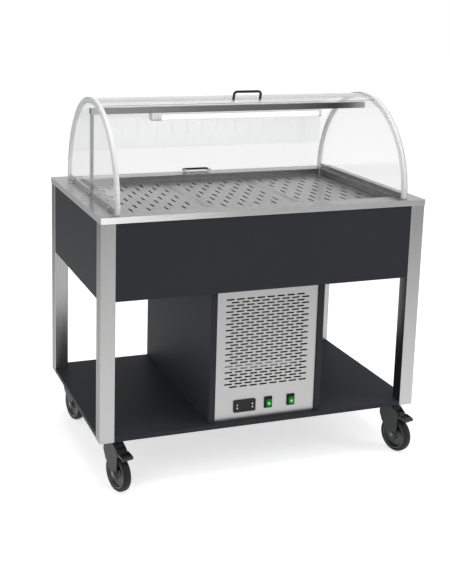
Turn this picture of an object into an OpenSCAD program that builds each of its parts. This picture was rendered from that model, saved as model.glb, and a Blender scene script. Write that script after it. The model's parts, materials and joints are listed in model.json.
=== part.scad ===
// Refrigerated buffet trolley with a roll-top dome.
// Millimetres, X to the right, Y to the back, Z up, origin on the floor.

/* [Worktop and frame] */
// Length of the worktop
top_l = 1150; // [1080:10:1300]
// Depth of the worktop
top_w = 700; // [680:5:780]
// Height of the worktop above the floor
top_h = 917; // [860:1:950]
// Depth of the worktop's folded edge
fold_h = 20; // [12:1:40]
// Sheet steel thickness
sheet_t = 1.5; // [1:0.1:2.5]
// Outer corner radius of the worktop
top_r = 4; // [1:0.5:8]
// Side of the square legs
leg_a = 50; // [40:1:56]
// Wall of the legs and frame tubes
tube_wall = 2; // [1.5:0.25:3]
// Setback of the legs from the worktop's edge
leg_in = 2; // [2:0.5:6]
// Side of the square frame tubes
frame_a = 30; // [20:1:30]
// Thickness of the laminated skirt panels
panel_t = 18; // [12:1:22]
// Height of the skirt panels
panel_h = 271.5; // [250:0.5:300]
// Setback of the skirt panels from the faces of the legs
panel_in = 2; // [0.5:0.5:4]
// Thickness of the board that closes the skirt below
under_t = 6; // [4:1:10]
// Thickness of the bottom shelf
shelf_t = 15; // [12:1:22]
// Setback of the bottom shelf from the faces of the legs
shelf_in = 1; // [0:0.5:4]

/* [Cold well] */
// Worktop border left and right of the well
rim_x = 80; // [76:1:110]
// Worktop border in front of the well and behind it
rim_y = 70; // [66:1:90]
// Depth of the well below the worktop
well_d = 185; // [120:1:190]
// Corner radius of the well
well_r = 6; // [3:1:12]
// Width of the ledge that carries the base plates
ledge_w = 12; // [8:1:18]
// Flange of the well under the worktop
flange_w = 15; // [8:1:18]
// Foam thickness round the well
foam_t = 18; // [12:1:24]
// Outer diameter of the drain outlet
drain_d = 32; // [20:1:40]
// Outer diameter of the cooling tube
coil_d = 12; // [8:1:16]
// Distance between two runs of the cooling tube
coil_pitch = 50; // [40:1:60]

/* [Base plates] */
// Number of base plates side by side
plate_n = 3; // [2:1:4]
// Play between the base plates and the wall of the well
plate_play = 2.6; // [1:0.1:4]
// Joint between two base plates
plate_gap = 1; // [0.6:0.1:2]
// Level of the base plates below the worktop
plate_drop = 23; // [16:1:40]
// Depth of the folds under the base plates
plate_fold = 12; // [8:1:16]
// Width of the stepped border at the seams
border_w = 12; // [8:1:16]
// Height of the step in that border
border_step = 1.6; // [0.8:0.1:2.5]
// Length of the long slots
slot_l = 46; // [30:1:50]
// Width of the long slots
slot_w = 7; // [4:0.5:10]
// Diameter of the small round holes
dot_d = 4; // [3:0.5:8]
// Distance between two columns of holes
hole_px = 31; // [26:0.5:40]
// Distance between two rows of holes
hole_py = 53.5; // [52:0.5:70]

/* [Dome] */
// Setback of the dome's end panels from the worktop's ends
end_in = 57; // [50:1:66]
// Setback of the dome's feet from the worktop's front and back edges
foot_in = 26; // [20:1:30]
// Height of the dome's axis above the worktop
axis_up = 9; // [6:0.5:14]
// Thickness of the clear end panels
end_t = 4; // [3:0.5:6]
// Width of the curved guide strips
strip_w = 10.5; // [8:0.5:14]
// Thickness of the outer guide strip
strip_o = 4; // [3:0.5:5]
// Thickness of the middle guide strip
strip_m = 3; // [2.5:0.5:4]
// Thickness of the inner guide strip
strip_i = 4; // [3:0.5:5]
// Thickness of the clear shells
shell_t = 3.2; // [2.5:0.1:4]
// Play of each shell in its guide
shell_play = 0.3; // [0.2:0.05:0.6]
// Angle of the open front shell's leading edge in front of the vertical
front_lead = 17; // [10:0.5:20]
// Angle that the front shell spans
front_span = 89.5; // [82:0.5:95]
// Angle of the closed rear shell's leading edge in front of the vertical
rear_lead = 6; // [4:0.5:8]
// Diameter of the stop pins in the guides
stop_d = 3; // [2:0.5:3]
// Distance between the feet of a handle
grip_l = 99; // [90:1:140]
// Height of the handles
grip_h = 37; // [30:0.5:37]
// Diameter of the handles' rod
grip_d = 9; // [7:0.5:12]
// Height of the light collars under the handles' feet
collar_h = 4; // [3:0.5:10]
// Distance of the front handle from the front shell's leading edge
grip_edge = 19.5; // [14:0.5:30]
// Sideways place of the front handle
grip_front_x = 17; // [-100:1:100]
// Sideways place of the rear handle
grip_rear_x = -12; // [-100:1:100]

/* [End rails and lamp] */
// Height of the end rails
rail_h = 16; // [12:1:20]
// Width of the end rails' top
rail_w = 11; // [9:0.5:12]
// Thickness of the end rails' top
rail_top_t = 2; // [1.5:0.5:3]
// Thickness of the end rails' web
rail_web = 3; // [2:0.5:4]
// Gap between an end rail's ends and the inner guide strip
rail_gap = 5.4; // [2:0.1:40]
// Diameter of the end panels' screws
screw_d = 5; // [4:0.5:6]
// Width of the lamp bar
bar_w = 24; // [20:1:34]
// Height of the lamp bar
bar_h = 21; // [16:1:28]
// Drop of the lamp bar below the top of the dome
bar_drop = 36; // [30:1:60]
// Width of the lamp post
post_w = 13; // [9:1:18]
// Depth of the lamp post
post_t = 10; // [6:0.5:10]
// Length of the lamp
lamp_l = 641; // [400:1:800]
// Sideways place of the lamp
lamp_x = 15.5; // [-60:0.5:60]
// Width of the lamp
lamp_w = 34; // [26:1:44]
// Height of the lamp
lamp_h = 27; // [20:1:40]
// Length of the lamp's left end piece
lamp_end = 36; // [10:1:50]
// Length of the lamp's right end piece
lamp_end_r = 11; // [8:1:50]

/* [Machine cabinet] */
// Inner width of the cabinet
cab_w = 366; // [350:1:420]
// Sideways place of the cabinet
cab_x = 10.5; // [-60:0.5:60]
// Thickness of the cabinet's sides
cab_t = 22; // [16:1:25]
// Setback of the cabinet's metal front from the worktop's edge
front_in = 23; // [20:1:40]
// Overhang of the cabinet's sides past the metal front
side_lap = 5; // [0:0.5:12]
// Setback of the cabinet's sides from the worktop's back edge
back_in = 6; // [4:1:20]
// Depth of the folds behind the metal front
front_fold = 20; // [12:1:25]
// Number of rows in the grille
vent_rows = 30; // [10:1:32]
// Number of slots in a row
vent_cols = 8; // [4:1:8]
// Distance of the top row below the cabinet's top
vent_down = 31.5; // [24:0.5:40]
// Distance between two slots of a row
vent_px = 36.4; // [32:0.2:38]
// Length of a slot
vent_l = 28; // [20:0.5:30]
// Height of a slot
vent_h = 5; // [3:0.5:6]
// Height of the grille above the shelf
vent_up = 115.5; // [108:0.5:130]

/* [Controls] */
// Width of the controller's face
ctrl_w = 79; // [70:1:90]
// Height of the controller's face
ctrl_h = 42; // [34:1:46]
// Place of the controller left of the cabinet's middle
ctrl_dx = 75.5; // [70:0.5:90]
// Height of the controls above the shelf
ctrl_up = 48; // [44:0.5:60]
// Diameter of the controller's buttons
key_d = 5; // [4:0.5:7]
// Travel of the controller's buttons
key_go = 0.8; // [0.4:0.1:1.5]
// Width of the switch frames
sw_w = 29; // [24:1:32]
// Height of the switch frames
sw_h = 40; // [34:1:44]
// Place of the first switch right of the cabinet's middle
sw_dx = 11.5; // [0:0.5:20]
// Distance between the two switches
sw_pitch = 83.5; // [50:0.5:100]
// Throw of the rocker switches in degrees
sw_throw = 14; // [8:1:16]

/* [Cooling machine] */
// Height of the machine's tray above the shelf
tray_up = 150; // [140:1:160]
// Height of the tray's folds
tray_h = 25; // [15:1:35]
// Depth of the tray
tray_l = 470; // [440:5:520]
// Diameter of the compressor
comp_d = 150; // [120:1:160]
// Height of the compressor
comp_h = 190; // [150:1:210]
// Width of the condenser
cond_w = 280; // [200:1:300]
// Clear height over the condenser, where the lines pass
cond_gap = 46.5; // [40:0.5:60]
// Thickness of the condenser
cond_t = 45; // [30:1:60]
// Distance of the condenser behind the metal front
cond_in = 60; // [54:1:70]
// Width of the condenser's face that is left around the fan
fan_rim = 15; // [12:1:40]
// Distance between the condenser's return bends
bend_pitch = 50; // [40:1:60]
// Number of fan blades
fan_n = 5; // [3:1:7]
// Diameter of the thicker cooling line
line_d = 10; // [6:0.5:12]
// Bore of the cable gland
gland_d = 9.4; // [7:0.1:11]

/* [Casters] */
// Overall height of a caster
caster_h = 175; // [165:1:190]
// Diameter of the wheels
wheel_d = 125; // [100:1:125]
// Width of the wheels
wheel_w = 28; // [22:1:32]
// Trail of the wheels behind the swivel axis
trail = 40; // [34:1:44]
// Setback of the swivel axis from the worktop's end
caster_x_in = 60; // [56:1:80]
// Setback of the swivel axis from the worktop's front and back
caster_y_in = 57; // [55:1:80]
// Side of the caster's top plate
pad_a = 76; // [70:1:84]
// Thickness of the caster's top plate
pad_t = 4; // [3:0.5:6]
// Swivel angle of the front casters
turn_front = 15; // [0:1:30]
// Swivel angle of the rear casters
turn_rear = 12; // [0:1:30]
// Reach of the brake pedals from the swivel axis
pedal_reach = 100; // [92:1:108]
// Width of the brake pedals
pedal_w = 40; // [34:1:46]

/* [Hidden] */
$fn = 48;

// Clearances
joint = 0.3;
pin_play = 0.15;
screw_play = 0.2;

// Main planes
hl = top_l / 2;
hw = top_w / 2;
under_z = top_h - sheet_t;
leg_x = hl - leg_in - leg_a / 2;
leg_y = hw - leg_in - leg_a / 2;
leg_ix = leg_x - leg_a / 2;
leg_iy = leg_y - leg_a / 2;
panel_ox = hl - leg_in - panel_in;
panel_oy = hw - leg_in - panel_in;
panel_ix = panel_ox - panel_t;
panel_iy = panel_oy - panel_t;
panel_z = under_z - panel_h;
frame_z = panel_z + under_t;
foam_z = frame_z + frame_a;
shelf_z = caster_h;
shelf_top = shelf_z + shelf_t;

// Well
well_hx = hl - rim_x;
well_hy = hw - rim_y;
floor_z = top_h - well_d;
ledge_z = top_h - plate_drop - plate_fold;
low_hx = well_hx - ledge_w;
low_hy = well_hy - ledge_w;
foam_hx = well_hx + sheet_t + foam_t;
foam_hy = well_hy + sheet_t + foam_t;

// Base plates
plate_w = (2 * (well_hx - plate_play) - (plate_n - 1) * plate_gap) / plate_n;
plate_l = 2 * (well_hy - plate_play);
plate_pitch = plate_w + plate_gap;
plate_z = top_h - plate_drop;
hole_nx = floor((plate_w / 2 - border_w - 4 - slot_w / 2) / hole_px);
hole_ny = floor((plate_l / 2 - 14 - slot_l / 2) / hole_py);

// Dome
axis_z = top_h + axis_up;
dome_r = hw - foot_in;
end_x = hl - end_in;
end_ix = end_x - end_t;
track_o = dome_r - strip_o;
front_ro = track_o - shell_play;
stud_r = 2.5;
front_ri = front_ro - shell_t;
mid_ro = front_ri - shell_play;
mid_ri = mid_ro - strip_m;
rear_ro = mid_ri - shell_play;
rear_ri = rear_ro - shell_t;
inner_ro = rear_ri - shell_play;
inner_ri = inner_ro - strip_i;
shell_hx = end_ix - joint;
front_tail = front_lead - front_span;
rear_tail = -90 - asin((axis_up - joint) / rear_ri);
front_close = 88.5 - front_lead;
grip_front_a = front_lead - grip_edge / front_ro * 180 / PI;

// Rails and lamp
rail_l = 2 * (inner_ri - rail_gap);
rail_x = end_ix - rail_w / 2;
rail_z = top_h + rail_h;
web_x = rail_x + rail_web / 2;
bar_z1 = axis_z + dome_r - bar_drop;
bar_z0 = bar_z1 - bar_h;
fix_y = rail_l / 2 - 60;
fix_z = top_h + (rail_h - rail_top_t) / 2;
bar_fix_z = (bar_z0 + bar_z1) / 2;

// Cabinet
cab_x0 = cab_x - cab_w / 2;
cab_x1 = cab_x + cab_w / 2;
cab_yf = -(hw - front_in);
cab_yb = hw - front_in;
cab_z1 = panel_z;
ctrl_x = cab_x - ctrl_dx;
ctrl_z = shelf_top + ctrl_up;
ctrl_cut_w = ctrl_w - 8;
ctrl_cut_h = ctrl_h - 11;
key_dx = ctrl_w / 2 - 12;
key_dz = 5.5;
sw1_x = cab_x + sw_dx;
sw2_x = sw1_x + sw_pitch;
sw_z = ctrl_z + 2;
sw_cut_w = sw_w - 5;
sw_cut_h = sw_h - 8;
rock_w = sw_cut_w - 5;
rock_h = sw_cut_h - 6;
rock_y = cab_yf - 1;
vent_z = shelf_top + vent_up + vent_h / 2;
vent_pz = (cab_z1 - vent_down - vent_z) / (vent_rows - 1);
gland_x = cab_x1 - 60;
gland_z = shelf_top + 60;
gland_r = gland_d / 2 + 3.3;
back_z = gland_z + 54;
back_pz = (cab_z1 - 70 - back_z) / 15;

// Machine
cond_y0 = cab_yf + cond_in;
cond_y1 = cond_y0 + cond_t;
tray_z = shelf_top + tray_up;
tray_top = tray_z + sheet_t;
tray_y0 = cond_y0 - 8;
cond_z0 = tray_top + 6;
cond_h = cab_z1 - cond_gap - cond_z0;
cond_z1 = cond_z0 + cond_h;
fan_d = min(cond_h, cond_w) - 2 * fan_rim;
fan_z = cond_z0 + cond_h / 2;
shroud_y = cond_y1 + 20;
comp_y = 40;
comp_z = tray_top + 18;
tap_z = comp_z + comp_h * 0.6;
coil_z = floor_z + coil_d / 2 + 0.2;
coil_hx = low_hx - 55;
coil_n = 2 * floor((low_hy - 30) / coil_pitch);
coil_y0 = -(coil_n - 1) / 2 * coil_pitch;
coil_x = cab_x1 - 60;
stub_z = panel_z - 14;

// Casters
caster_x = hl - caster_x_in;
caster_y = hw - caster_y_in;
axle_z = wheel_d / 2;
pad_z = caster_h - pad_t;
fork_top = pad_z - 3;
gap_hw = wheel_w / 2 + 1.7;
fork_hw = gap_hw + 4.3;
hood_r = wheel_d / 2 + 3.5;
piv_u = trail + 10;
piv_z = axle_z + hood_r + 12.5;
pad_hole = pad_a / 2 - 8;

// The brake pedals reach further forward than the worktop, so the middle of
// the whole outline lies in front of the worktop's middle.
y_org = (caster_y + pedal_reach * cos(turn_front) + pedal_w / 2 * sin(turn_front) - hw) / 2;

module org() translate([0, y_org, 0]) children();
// An outline in Y and Z, drawn out along X
module along_x(x0, x1) translate([x0, 0, 0]) rotate([90, 0, 90]) linear_extrude(height = x1 - x0) children();
// An outline in X and Z, drawn out along Y
module along_y(y0, y1) translate([0, y1, 0]) rotate([90, 0, 0]) linear_extrude(height = y1 - y0) children();
module block(x0, x1, y0, y1, z0, z1) translate([x0, y0, z0]) cube([x1 - x0, y1 - y0, z1 - z0]);
module rod_x(x0, x1, y, z, r) translate([x0, y, z]) rotate([0, 90, 0]) cylinder(r = r, h = x1 - x0);
module rod_y(x, y0, y1, z, r) translate([x, y1, z]) rotate([90, 0, 0]) cylinder(r = r, h = y1 - y0);
module rod_z(x, y, z0, z1, r) translate([x, y, z0]) cylinder(r = r, h = z1 - z0);

// Tube along points on straight lines parallel to X, Y or Z, with bends of radius b
function way(a, c) = (c - a) / norm(c - a);
module elbow(p, d, e, r, b) {
  f = cross(d, e);
  translate(p - b * d + b * e) multmatrix([[-e[0], d[0], f[0]], [-e[1], d[1], f[1]], [-e[2], d[2], f[2]]])
    rotate_extrude(angle = 90) translate([b, 0]) circle(r = r);
}
module straight(a, c, r) {
  d = way(a, c);
  translate(a) rotate([0, acos(d[2]), atan2(d[1], d[0])]) cylinder(r = r, h = norm(c - a));
}
module tube_line(p, r, b) {
  n = len(p) - 1;
  for (i = [0 : n - 1]) straight(p[i] + (i > 0 ? b : 0) * way(p[i], p[i + 1]),
    p[i + 1] - (i < n - 1 ? b : 0) * way(p[i], p[i + 1]), r);
  if (n > 1) for (i = [1 : n - 1]) elbow(p[i], way(p[i - 1], p[i]), way(p[i], p[i + 1]), r, b);
}

// Rectangle with round corners, by half sizes
module plan(hx, hy, r) {
  square([2 * hx, 2 * (hy - r)], center = true);
  square([2 * (hx - r), 2 * hy], center = true);
  for (sx = [-1, 1], sy = [-1, 1]) translate([sx * (hx - r), sy * (hy - r)]) circle(r = r);
}
module slab(hx, hy, r, z0, z1) translate([0, 0, z0]) linear_extrude(height = z1 - z0) plan(hx, hy, r);
module slot_x(l, h) {
  square([l - h, h], center = true);
  for (s = [-1, 1]) translate([s * (l - h) / 2, 0]) circle(r = h / 2, $fn = 16);
}
module slot_y(l, w) rotate(90) slot_x(l, w);
module both_sides() {
  children();
  mirror([1, 0, 0]) children();
}

// Ring between two radii in the dome's plane
module ring(ro, ri) difference() {
  circle(r = ro, $fn = 180);
  circle(r = ri, $fn = 180);
}
function ray(a, r) = [-r * sin(a), r * cos(a)];
// Part of a ring between two angles in front of the vertical, at the dome's axis
module arc(ro, ri, a0, a1) translate([0, axis_z]) intersection() {
  ring(ro, ri);
  polygon([[0, 0], ray(a0, 2 * ro), ray((a0 + a1) / 2, 2 * ro), ray(a1, 2 * ro)]);
}
// Everything in the dome's plane above the worktop
module above_top() translate([-2 * dome_r, top_h]) square([4 * dome_r, 4 * dome_r]);

// Legs
module leg(sx, sy) translate([sx * leg_x, sy * leg_y, 0]) difference() {
  slab(leg_a / 2, leg_a / 2, 3, shelf_z, under_z);
  slab(leg_a / 2 - tube_wall, leg_a / 2 - tube_wall, 1.2, shelf_z + 3, under_z + 1);
  rod_z(sx * (caster_x + pad_hole - leg_x), sy * (caster_y + pad_hole - leg_y), shelf_z - 1,
    shelf_z + 4, 2.5 + screw_play);
}
module legs_front() color("silver") org() for (s = [-1, 1]) leg(s, -1);
module legs_rear() color("silver") org() for (s = [-1, 1]) leg(s, 1);
module leg_space(g) for (sx = [-1, 1], sy = [-1, 1]) translate([sx * leg_x, sy * leg_y])
  square(leg_a + 2 * g, center = true);

// Worktop with its well opening and the fold round its edge
module worktop_rim() color("gainsboro") org() difference() {
  slab(hl, hw, top_r, top_h - fold_h, top_h);
  slab(hl - sheet_t, hw - sheet_t, top_r - sheet_t / 2, top_h - fold_h - 1, under_z);
  slab(well_hx, well_hy, well_r, top_h - fold_h, top_h + 1);
}

// Well with its ledge, its welded flange and the drain outlet
module well_tub() color("lightgray") org() difference() {
  union() {
    slab(well_hx + flange_w, well_hy + flange_w, well_r, under_z - sheet_t, under_z);
    slab(well_hx + sheet_t, well_hy + sheet_t, well_r + sheet_t, ledge_z - sheet_t, under_z);
    slab(low_hx + sheet_t, low_hy + sheet_t, well_r + sheet_t, floor_z - sheet_t, ledge_z);
    rod_z(cab_x0 + 60, well_hy / 2, panel_z - 14, floor_z, drain_d / 2);
  }
  slab(well_hx, well_hy, well_r, ledge_z, under_z + 1);
  slab(low_hx, low_hy, well_r, floor_z, ledge_z + 1);
  rod_z(cab_x0 + 60, well_hy / 2, panel_z - 15, floor_z + 1, drain_d / 2 - 2);
  for (s = [-1, 1]) rod_z(coil_x, s * coil_y0, floor_z - 5, floor_z + 5, coil_d / 2 + 2 * joint);
}

module well_insulation() color("khaki") org() difference() {
  slab(foam_hx, foam_hy, well_r + foam_t, foam_z, under_z - sheet_t);
  slab(well_hx + sheet_t, well_hy + sheet_t, well_r + sheet_t, ledge_z - sheet_t, under_z);
  slab(low_hx + sheet_t, low_hy + sheet_t, well_r + sheet_t, floor_z - sheet_t, ledge_z);
  rod_z(cab_x0 + 60, well_hy / 2, foam_z - 1, floor_z, drain_d / 2 + joint);
  for (s = [-1, 1]) rod_z(coil_x, s * coil_y0, foam_z - 1, floor_z, coil_d / 2 + joint);
}

// Cooling tube laid to and fro over the floor of the well
module evaporator_coil() color("peru") org() {
  r = coil_d / 2;
  b = r + 1;
  for (i = [0 : coil_n - 1]) {
    y = coil_y0 + i * coil_pitch;
    ends = (i == 0 || i == coil_n - 1);
    rod_x(ends ? coil_x + b : -coil_hx, coil_hx, y, coil_z, r);
    if (i < coil_n - 1) {
      s = i % 2 == 0 ? 1 : -1;
      translate([s * coil_hx, y + coil_pitch / 2, coil_z]) rotate([0, 0, -90 * s])
        rotate_extrude(angle = 180) translate([coil_pitch / 2, 0]) circle(r = r);
    }
  }
  for (s = [-1, 1]) {
    translate([coil_x + b, s * coil_y0, coil_z - b]) rotate([90, 0, 0]) rotate([0, 0, 90])
      rotate_extrude(angle = 90) translate([b, 0]) circle(r = r);
    rod_z(coil_x, s * coil_y0, stub_z, coil_z - b, r);
  }
}

// Skirt panels
module panel_front() color("dimgray") org()
  block(-leg_ix + joint, leg_ix - joint, -panel_oy, -panel_iy, panel_z, under_z);
module panel_rear() color("dimgray") org()
  block(-leg_ix + joint, leg_ix - joint, panel_iy, panel_oy, panel_z, under_z);
module panel_left() color("dimgray") org()
  block(-panel_ox, -panel_ix, -leg_iy + joint, leg_iy - joint, panel_z, under_z);
module panel_right() color("dimgray") org()
  block(panel_ix, panel_ox, -leg_iy + joint, leg_iy - joint, panel_z, under_z);

// Board under the well, cut out for the legs, the drain and the cooling tubes
module underside_panel() color("dimgray") org() translate([0, 0, panel_z]) linear_extrude(height = under_t)
  difference() {
    square([2 * (panel_ix - joint), 2 * (panel_iy - joint)], center = true);
    leg_space(joint);
    translate([cab_x0 + 60, well_hy / 2]) circle(r = drain_d / 2 + joint);
    for (s = [-1, 1]) translate([coil_x, s * coil_y0]) circle(r = coil_d / 2 + joint);
  }

module tube_x(x0, x1, y) difference() {
  block(x0, x1, y - frame_a / 2, y + frame_a / 2, frame_z, foam_z);
  block(x0 - 1, x1 + 1, y - frame_a / 2 + tube_wall, y + frame_a / 2 - tube_wall,
    frame_z + tube_wall, foam_z - tube_wall);
}
module tube_y(y0, y1, x) difference() {
  block(x - frame_a / 2, x + frame_a / 2, y0, y1, frame_z, foam_z);
  block(x - frame_a / 2 + tube_wall, x + frame_a / 2 - tube_wall, y0 - 1, y1 + 1,
    frame_z + tube_wall, foam_z - tube_wall);
}
// Square tubes between the legs, with two bearers under the well
module frame_rails() color("silver") org() {
  for (s = [-1, 1]) {
    tube_x(-leg_ix, leg_ix, s * (panel_iy - frame_a / 2));
    tube_y(-leg_iy, leg_iy, s * (panel_ix - frame_a / 2));
    tube_y(-(panel_iy - frame_a), panel_iy - frame_a, s * well_hx * 0.6);
  }
}

// Base plates with slots and round holes in a diamond pattern
module plate_holes() for (i = [-hole_nx : hole_nx], j = [-hole_ny : hole_ny])
  translate([i * hole_px, j * hole_py]) {
    if ((abs(i) + abs(j)) % 2 == 0) slot_y(slot_l, slot_w);
    else circle(r = dot_d / 2, $fn = 16);
  }
module base_plate(i) {
  w = plate_w / 2;
  d = plate_l / 2;
  s = sheet_t;
  zb = plate_z - border_step;
  zf = plate_z - plate_fold;
  x1 = w - border_w;
  x2 = x1 + border_step;
  translate([(i - (plate_n + 1) / 2) * plate_pitch, 0, 0]) difference() {
    union() {
      along_y(-d, d) polygon([[-w, zf], [-w, zb], [-x2, zb], [-x1, plate_z], [x1, plate_z],
        [x2, zb], [w, zb], [w, zf], [w - s, zf], [w - s, zb - s], [x2 - s / 2, zb - s],
        [x1 - s / 2, plate_z - s], [s / 2 - x1, plate_z - s], [s / 2 - x2, zb - s],
        [s - w, zb - s], [s - w, zf]]);
      for (e = [-1, 1]) along_y(e > 0 ? d - s : -d, e > 0 ? d : s - d)
        polygon([[-w, zf], [-w, zb], [-x2, zb], [-x1, plate_z], [x1, plate_z], [x2, zb],
          [w, zb], [w, zf]]);
    }
    translate([0, 0, zf + 1]) linear_extrude(height = plate_fold) plate_holes();
  }
}
module base_plate_1() color("gainsboro") org() base_plate(1);
module base_plate_2() color("gainsboro") org() base_plate(2);
module base_plate_3() color("gainsboro") org() base_plate(3);

// End rails with the bosses that take the end panels' screws
module end_rail() difference() {
  union() {
    block(rail_x - rail_w / 2, end_ix, -rail_l / 2, rail_l / 2, rail_z - rail_top_t, rail_z);
    block(rail_x - rail_web / 2, web_x, -rail_l / 2, rail_l / 2, top_h, rail_z - rail_top_t);
    for (y = [-fix_y, 0, fix_y]) rod_x(web_x - 0.5, end_ix, y, fix_z, screw_d / 2 + 1.8);
  }
  for (y = [-fix_y, 0, fix_y]) rod_x(rail_x - 10, end_ix + 1, y, fix_z, screw_d / 2 + screw_play);
}
module end_rails() color("silver") org() both_sides() end_rail();

// Clear end panels
module end_panel() difference() {
  along_x(end_ix, end_x) intersection() {
    translate([0, axis_z]) circle(r = dome_r, $fn = 180);
    above_top();
  }
  for (y = [-fix_y, 0, fix_y]) rod_x(end_ix - 1, end_x + 1, y, fix_z, screw_d / 2 + screw_play);
  rod_x(end_ix - 1, end_x + 1, 0, bar_fix_z, screw_d / 2 + screw_play);
}
module end_panel_left() color("lightcyan") org() mirror([1, 0, 0]) end_panel();
module end_panel_right() color("lightcyan") org() end_panel();

// Curved strips on the end panels that guide the two shells, and their stop pins
module stop_pin(r, a) rod_x(end_ix - strip_w, end_ix, ray(a, r)[0], axis_z + ray(a, r)[1], stop_d / 2);
module guide_side() {
  tail_gap = (stop_d / 2 + joint) / mid_ro * 180 / PI;
  along_x(end_ix - strip_w, end_ix) intersection() {
    translate([0, axis_z]) union() {
      ring(dome_r, track_o);
      ring(mid_ro, mid_ri);
      ring(inner_ro, inner_ri);
    }
    above_top();
  }
  stop_pin((front_ro + front_ri) / 2, front_tail - tail_gap);
  stop_pin((front_ro + front_ri) / 2, front_lead + front_close + tail_gap);
}
module guide_strips() color("azure") org() both_sides() guide_side();

// Clear shells that roll over one another
module grip_hole(r, a, x) for (s = [-1, 1]) translate([x + s * grip_l / 2, 0, axis_z])
  rotate([a, 0, 0]) translate([0, 0, r - 3 * shell_t]) cylinder(r = stud_r + screw_play, h = 6 * shell_t);
module front_shell() color("aliceblue") org() difference() {
  along_x(-shell_hx, shell_hx) arc(front_ro, front_ri, front_tail, front_lead);
  grip_hole(front_ro, grip_front_a, grip_front_x);
}
module rear_shell() color("aliceblue") org() difference() {
  along_x(-shell_hx, shell_hx) arc(rear_ro, rear_ri, rear_tail, rear_lead);
  grip_hole(rear_ro, -90, grip_rear_x);
}

// Bow handle on two collars, standing on the outer face of a shell
module grip(r, a, x) translate([x, 0, axis_z]) rotate([a, 0, 0]) translate([0, 0, r]) {
  rr = grip_d / 2;
  b = grip_d + 2;
  h = grip_h - rr;
  both_sides() {
    translate([grip_l / 2, 0, collar_h + 0.1]) cylinder(r = rr, h = h - b - collar_h - 0.1);
    translate([grip_l / 2 - b, 0, h - b]) rotate([90, 0, 0])
      rotate_extrude(angle = 90) translate([b, 0]) circle(r = rr);
    translate([grip_l / 2, 0, -shell_t - 1]) cylinder(r = stud_r, h = shell_t + collar_h + 1.5);
    translate([grip_l / 2, 0, 0]) difference() {
      cylinder(r = rr + 1.5, h = collar_h);
      translate([0, 0, -1]) cylinder(r = stud_r + screw_play, h = collar_h + 2);
    }
    translate([grip_l / 2, 0, -shell_t - 2.3]) difference() {
      cylinder(r = 2 * stud_r, h = 2);
      translate([0, 0, -1]) cylinder(r = stud_r + screw_play, h = 4);
    }
  }
  rod_x(-grip_l / 2 + b, grip_l / 2 - b, 0, h, rr);
}
module handle_front() color("black") org() grip(front_ro, grip_front_a, grip_front_x);
module handle_rear() color("black") org() grip(rear_ro, -90, grip_rear_x);

// Lamp post, bar and lamp
module lamp_post() color("silver") org() translate([-end_ix + joint, 0, 0]) difference() {
  block(0, post_t, -post_w / 2, post_w / 2, rail_z, bar_z0);
  block(1.5, post_t - 1.5, -post_w / 2 + 1.5, post_w / 2 - 1.5, rail_z - 1, bar_z0 + 1);
}
module lamp_bar() color("silver") org() difference() {
  block(-end_ix, end_ix, -bar_w / 2, bar_w / 2, bar_z0, bar_z1);
  block(-end_ix + 3, end_ix - 3, -bar_w / 2 + sheet_t, bar_w / 2 - sheet_t, bar_z0 - 1, bar_z1 - sheet_t);
  rod_x(-end_ix - 1, end_ix + 1, 0, bar_fix_z, screw_d / 2 + screw_play);
}
lamp_x0 = lamp_x - lamp_l / 2;
lamp_x1 = lamp_x + lamp_l / 2;
module lamp_section(hx) {
  translate([-hx, bar_z0 - lamp_h + 8]) square([2 * hx, lamp_h - 8]);
  translate([-hx + 8, bar_z0 - lamp_h]) square([2 * hx - 16, lamp_h]);
  for (s = [-1, 1]) translate([s * (hx - 8), bar_z0 - lamp_h + 8]) circle(r = 8);
}
module lamp_housing() color("white") org() {
  along_x(lamp_x0, lamp_x0 + lamp_end) lamp_section(lamp_w / 2);
  along_x(lamp_x1 - lamp_end_r, lamp_x1) lamp_section(lamp_w / 2);
  block(lamp_x0 + lamp_end - 1, lamp_x1 - lamp_end_r + 1, -lamp_w / 2, lamp_w / 2, bar_z0 - 6, bar_z0);
}
module lamp_diffuser() color("ivory") org() difference() {
  along_x(lamp_x0 + lamp_end, lamp_x1 - lamp_end_r) difference() {
    lamp_section(lamp_w / 2 - 1);
    translate([-lamp_w, bar_z0 - 6]) square([2 * lamp_w, 20]);
  }
}

// Bottom shelf, cut out for the legs
module bottom_shelf() color("dimgray") org() difference() {
  translate([0, 0, shelf_z]) linear_extrude(height = shelf_t) difference() {
    square([2 * (hl - leg_in - shelf_in), 2 * (hw - leg_in - shelf_in)], center = true);
    leg_space(joint);
  }
  caster_spots() for (sx = [-1, 1], sy = [-1, 1])
    rod_z(sx * pad_hole, sy * pad_hole, shelf_z - 1, shelf_z + 11, 2.5 + screw_play);
}

// Cabinet
cab_y0 = cab_yf - side_lap;
cab_y1 = hw - back_in;
module cabinet_side_left() color("dimgray") org()
  block(cab_x0 - cab_t, cab_x0, cab_y0, cab_y1, shelf_top, cab_z1);
module cabinet_side_right() color("dimgray") org()
  block(cab_x1, cab_x1 + cab_t, cab_y0, cab_y1, shelf_top, cab_z1);

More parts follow.
